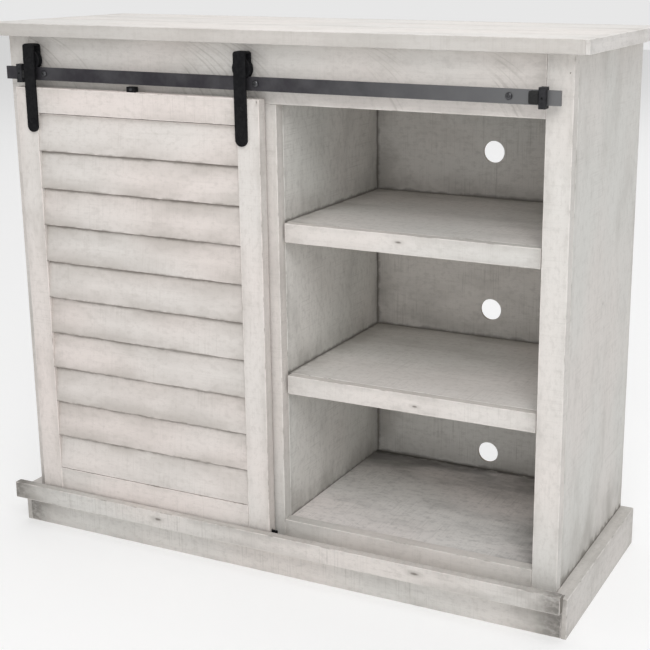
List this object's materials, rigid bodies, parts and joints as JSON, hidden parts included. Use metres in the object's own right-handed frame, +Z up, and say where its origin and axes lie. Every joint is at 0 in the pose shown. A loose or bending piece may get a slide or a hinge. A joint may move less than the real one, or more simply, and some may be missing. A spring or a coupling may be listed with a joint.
{
  "type": "tv stand with doors",
  "caption": "Tall media cabinet of rough-sawn whitewashed boards with open shelves, cable holes and a louvred door that slides on a flat black track.",
  "frame": {"origin": "on the floor below the middle of the bounding box", "axes": "+X along the length to the right seen from the front, +Y from the front to the back, +Z up"},
  "size_m": [1.27, 0.488, 1.089],
  "materials": {
    "cabinet_wood": "whitewashed rough-sawn boards with worn edges, matt",
    "door_wood": "whitewashed rough-sawn boards with worn edges, matt",
    "interior_wood": "thin greyed whitewash, matt",
    "track_steel": "dark grey powder coat, satin",
    "black_hardware": "black powder coat, satin",
    "rubber_pad": "matt"
  },
  "bodies": {
    "cabinet": {"back_base_rail": "interior_wood", "back_panel_left": "interior_wood", "back_panel_right": "interior_wood", "back_top_rail_left": "interior_wood", "back_top_rail_right": "interior_wood", "bottom_panel": "interior_wood", "channel_board": "cabinet_wood", "channel_lip": "cabinet_wood", "door_guide": "black_hardware", "partition": "interior_wood", "plinth_front": "cabinet_wood", "rail_bottom_left": "cabinet_wood", "rail_bottom_right": "cabinet_wood", "rail_top": "cabinet_wood", "shelf_left_lower": "interior_wood", "shelf_left_upper": "interior_wood", "shelf_nosing_left_lower": "cabinet_wood", "shelf_nosing_left_upper": "cabinet_wood", "shelf_nosing_right_lower": "cabinet_wood", "shelf_nosing_right_upper": "cabinet_wood", "shelf_right_lower": "interior_wood", "shelf_right_upper": "interior_wood", "side_panel_left": "cabinet_wood", "side_panel_right": "cabinet_wood", "skirt_left": "cabinet_wood", "skirt_right": "cabinet_wood", "stile_left": "cabinet_wood", "stile_middle": "cabinet_wood", "stile_right": "cabinet_wood", "stop_pad_left": "rubber_pad", "stop_pad_right": "rubber_pad", "top_end_left": "cabinet_wood", "top_end_right": "cabinet_wood", "top_panel": "cabinet_wood", "track_bar": "track_steel", "track_standoff_left": "black_hardware", "track_standoff_middle": "black_hardware", "track_standoff_right": "black_hardware", "track_stop_left": "black_hardware", "track_stop_right": "black_hardware"},
    "door": {"door_rail_bottom": "door_wood", "door_rail_top": "door_wood", "door_slat_01": "door_wood", "door_slat_02": "door_wood", "door_slat_03": "door_wood", "door_slat_04": "door_wood", "door_slat_05": "door_wood", "door_slat_06": "door_wood", "door_slat_07": "door_wood", "door_slat_08": "door_wood", "door_slat_09": "door_wood", "door_slat_10": "door_wood", "door_stile_left": "door_wood", "door_stile_right": "door_wood", "hanger_left": "black_hardware", "hanger_right": "black_hardware", "jump_block": "black_hardware"},
    "wheel_left": {"wheel_left": "black_hardware"},
    "wheel_right": {"wheel_right": "black_hardware"}
  },
  "joints": [
    {"name": "door_slide", "type": "slide", "parent": "cabinet", "child": "door", "axis": [1, 0, 0], "range_m": [0, 0.55]},
    {"name": "wheel_left_spin", "type": "hinge", "parent": "door", "child": "wheel_left", "pos_m": [-0.5233, -0.215, 1.0177], "axis": [0, 1, 0], "range_deg": [-5, 2257]},
    {"name": "wheel_right_spin", "type": "hinge", "parent": "door", "child": "wheel_right", "pos_m": [-0.0313, -0.215, 1.0177], "axis": [0, 1, 0], "range_deg": [-5, 2257]}
  ],
  "couplings": [
    {"joint": "wheel_left_spin", "follows": "door_slide", "rad_per_m": 71.429},
    {"joint": "wheel_right_spin", "follows": "door_slide", "rad_per_m": 71.429}
  ]
}
